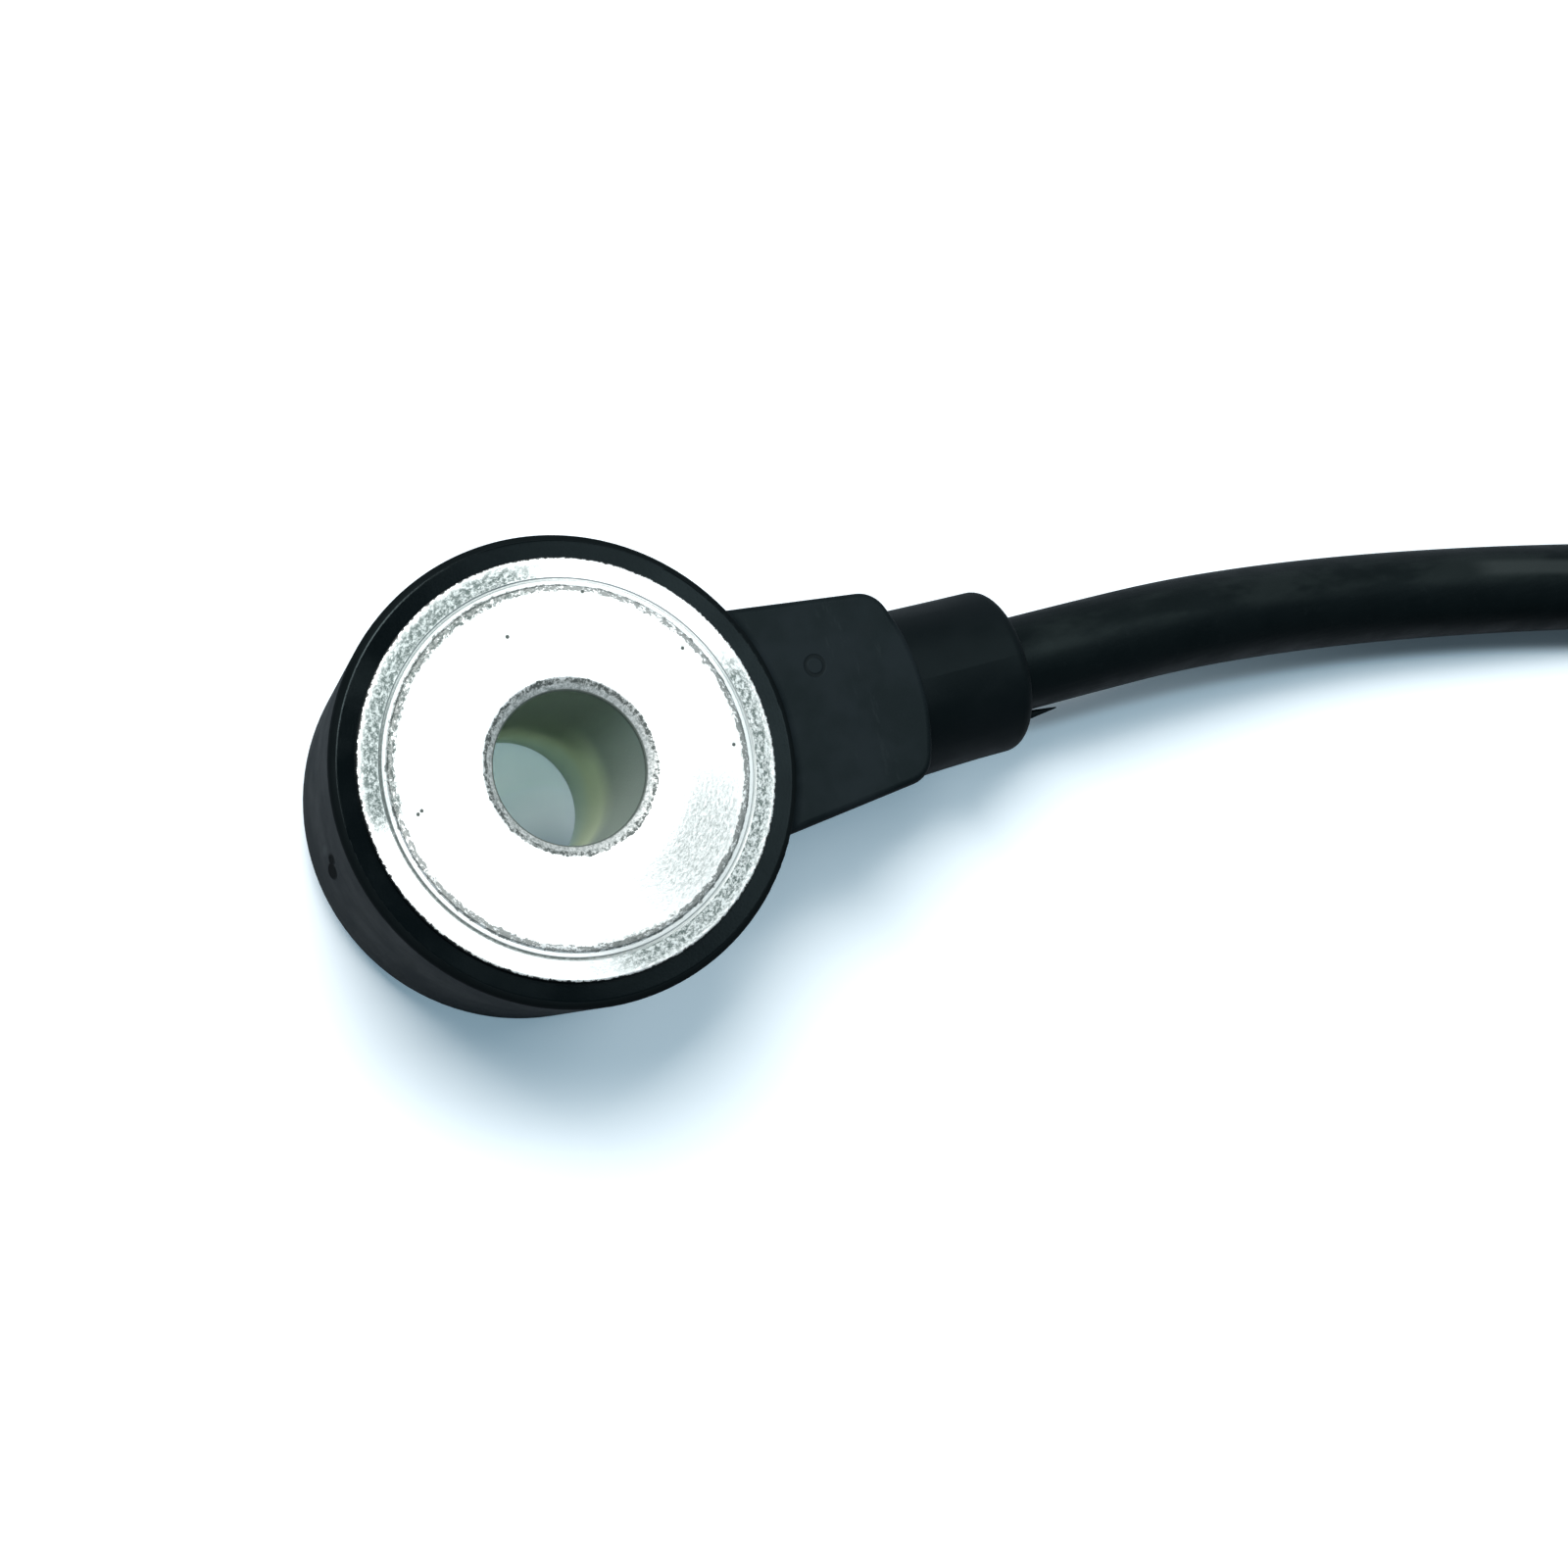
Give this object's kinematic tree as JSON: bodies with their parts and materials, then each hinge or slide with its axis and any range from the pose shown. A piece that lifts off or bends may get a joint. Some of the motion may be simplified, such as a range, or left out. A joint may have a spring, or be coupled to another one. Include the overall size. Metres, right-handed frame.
{
  "type": "engine knock sensor",
  "caption": "Ring-type engine knock sensor: through-bolted steel bush in a black moulded ring with a neck, collar and fixed round lead ending in a sealed plug.",
  "frame": {"origin": "on the bore's axis, at the bush's nut end", "axes": "+Z along the bore to the contact face that sits on the engine, +X the way the neck and lead leave the ring"},
  "size_m": [0.1597, 0.0814, 0.0187],
  "materials": {
    "zinc_plated_steel": "bright zinc over turned steel, lightly speckled",
    "black_moulding": "satin, fine moulded grain",
    "insulator": "matt",
    "contact_brass": "satin",
    "piezo_ceramic": "matt ceramic with silvered faces",
    "mass_steel": "turned",
    "spring_steel": "rolled",
    "core_sheath_light": "smooth",
    "core_sheath_dark": "smooth",
    "lead_sheath": "satin",
    "tie_band": "smooth",
    "plug_plastic": "fine grain",
    "pin_metal": "tinned",
    "clip_plastic": "smooth",
    "boot_rubber": "matt"
  },
  "bodies": {
    "root": {"contact_bush": "zinc_plated_steel", "housing": "black_moulding", "insulating_sleeve": "insulator", "upper_insulating_washer": "insulator", "lower_insulating_washer": "insulator", "signal_contact_ring": "contact_brass", "ground_contact_ring": "contact_brass", "piezo_ring": "piezo_ceramic", "seismic_mass": "mass_steel", "disc_spring": "spring_steel", "clamping_nut": "mass_steel", "signal_crimp": "contact_brass", "ground_crimp": "contact_brass", "signal_core": "core_sheath_light", "ground_core": "core_sheath_dark", "cable_lead": "lead_sheath", "cable_coil": "lead_sheath", "cable_tail": "lead_sheath", "near_coil_tie": "tie_band", "far_coil_tie": "tie_band", "plug_housing": "plug_plastic", "plug_pin_signal": "pin_metal", "plug_pin_ground": "pin_metal", "plug_lock_clip": "clip_plastic", "plug_boot": "boot_rubber"}
  },
  "joints": []
}
